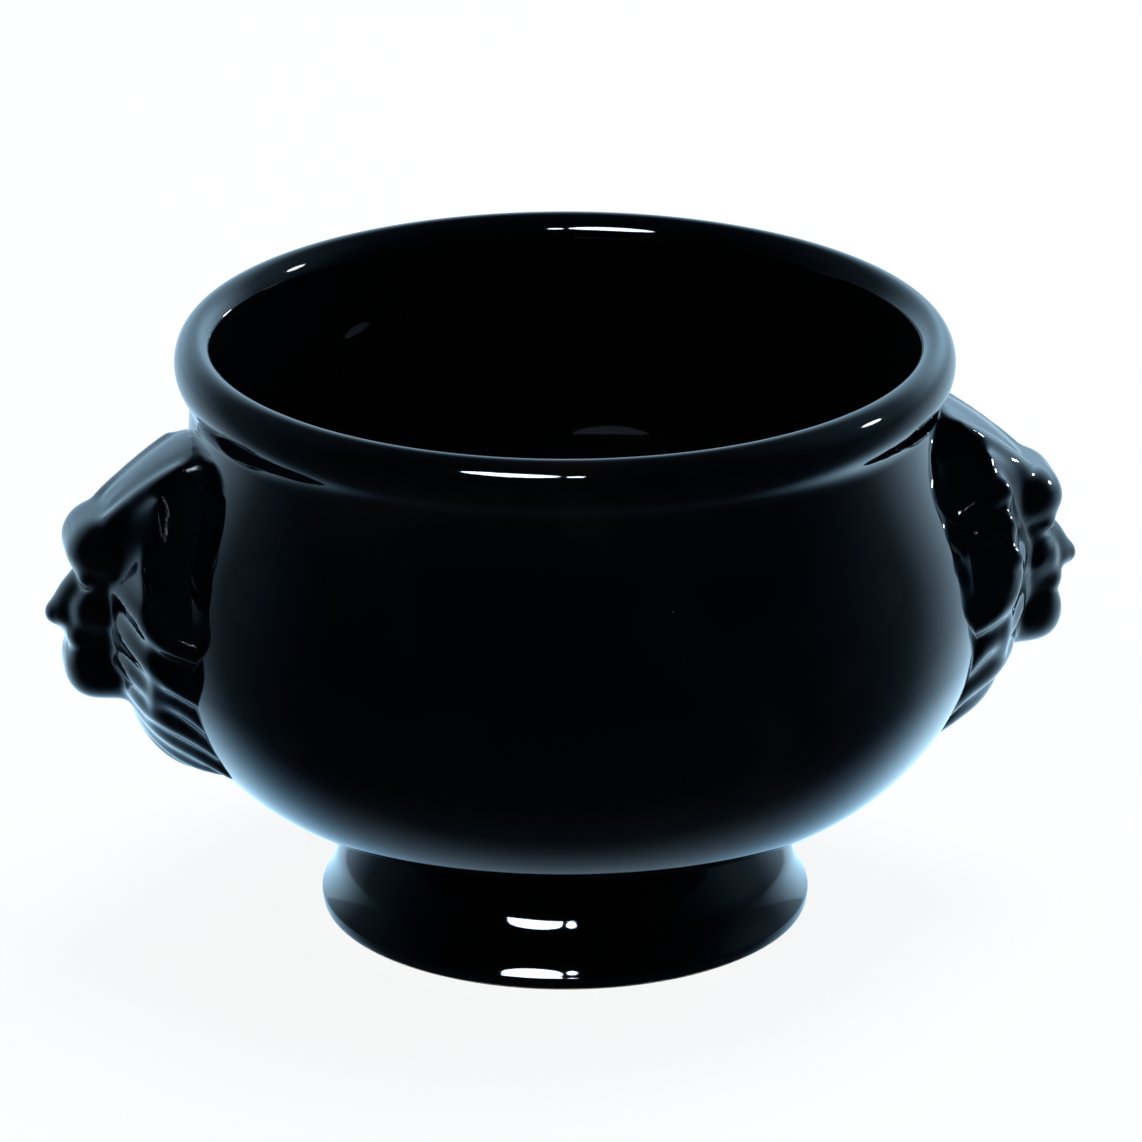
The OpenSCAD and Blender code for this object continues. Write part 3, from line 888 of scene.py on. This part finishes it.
# %% glaze materials
GLAZE, THIN_GLAZE, CLAY = (0.001, 0.0014, 0.0022, 1), (0.0034, 0.003, 0.0032, 1), (0.5, 0.4, 0.3, 1)
POOLED = (0.0006, 0.0008, 0.0012, 1)
SPECULAR_TINT = (0.4, 0.5, 0.6, 1)
WIPED_BELOW = 0.1 * MM
PIT_DEPTH = 0.1 * MM
RIPPLE_SCALE = 130
EDGE_GLOSS, EARLY_GLOSS = (0.42, 0.78), (0.14, 0.7)  # facing values between which the coat comes in


def glaze_material(name, glaze, gloss_range, specks, wave):
    material, tree, out = new_material(name)
    where = tree.nodes.new("ShaderNodeTexCoord")
    skin = tree.nodes.new("ShaderNodeGroup")
    skin.node_tree = fired
    tree.links.new(where.outputs["Object"], skin.inputs["Position"])
    skin.inputs["Glaze"].default_value = glaze
    skin.inputs["Thin Glaze"].default_value = THIN_GLAZE
    skin.inputs["Clay"].default_value = CLAY
    skin.inputs["Specks"].default_value = specks
    skin.inputs["Wiped Below"].default_value = WIPED_BELOW
    ripple = tree.nodes.new("ShaderNodeBump")
    ripple.inputs["Distance"].default_value = wave
    tree.links.new(noise(tree, where.outputs["Object"], RIPPLE_SCALE, detail=1), ripple.inputs["Height"])
    pits = tree.nodes.new("ShaderNodeBump")
    pits.inputs["Distance"].default_value = PIT_DEPTH
    tree.links.new(skin.outputs["Height"], pits.inputs["Height"])
    tree.links.new(ripple.outputs[0], pits.inputs["Normal"])
    gloss = tree.nodes.new("ShaderNodeBsdfPrincipled")
    gloss.inputs["IOR"].default_value = 1.5
    gloss.inputs["Specular IOR Level"].default_value = 0.05
    gloss.inputs["Specular Tint"].default_value = SPECULAR_TINT
    gloss.inputs["Coat Roughness"].default_value = 0.03
    gloss.inputs["Coat IOR"].default_value = 2.0
    tree.links.new(skin.outputs["Color"], gloss.inputs["Base Color"])
    tree.links.new(skin.outputs["Roughness"], gloss.inputs["Roughness"])
    tree.links.new(pits.outputs[0], gloss.inputs["Normal"])
    tree.links.new(ripple.outputs[0], gloss.inputs["Coat Normal"])
    facing = tree.nodes.new("ShaderNodeLayerWeight")
    facing.inputs["Blend"].default_value = 0.5
    glance = map_range(tree, facing.outputs["Facing"], *gloss_range, 0, 1)
    tree.links.new(math_node(tree, "MULTIPLY", glance, skin.outputs["Glazed"]), gloss.inputs["Coat Weight"])
    tree.links.new(gloss.outputs[0], out.inputs["Surface"])
    return material


wall_glaze = glaze_material("black_glaze", GLAZE, EDGE_GLOSS, specks=0.02, wave=0.02 * MM)
head_glaze = glaze_material("black_glaze_on_heads", GLAZE, EARLY_GLOSS, specks=0.03, wave=0.03 * MM)
seam_glaze = glaze_material("black_glaze_in_seam", POOLED, EDGE_GLOSS, specks=0, wave=0.05 * MM)
print("glazes:", wall_glaze.name, head_glaze.name, seam_glaze.name)

# %% [markdown]
# ## Dressing the frame
# Each piece takes its material, rides on the one body of the crock, and stands for the solids that it covers.
# The seam of slip under each head melts into the head, so a head stands for both.

# %% dress the pieces
DRESSED = (
    (bowl, wall_glaze, ["bowl"], "glaze"),
    (foot, wall_glaze, ["foot"], "glaze"),
    (luting_ring, seam_glaze, ["foot_slip_joint"], "slip"),
    (left_head, head_glaze, ["left_lion_head", "left_slip_joint"], "glaze"),
    (head, head_glaze, ["right_lion_head", "right_slip_joint"], "glaze"),
)
for piece, finish, stands_for, slot in DRESSED:
    piece.data.materials.clear()
    piece.data.materials.append(finish)
    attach(piece, "root")
    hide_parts(*stands_for)
    print(piece.name, sum(len(face.vertices) - 2 for face in piece.data.polygons), "triangles")
bpy.context.scene.view_settings.view_transform = "Standard"
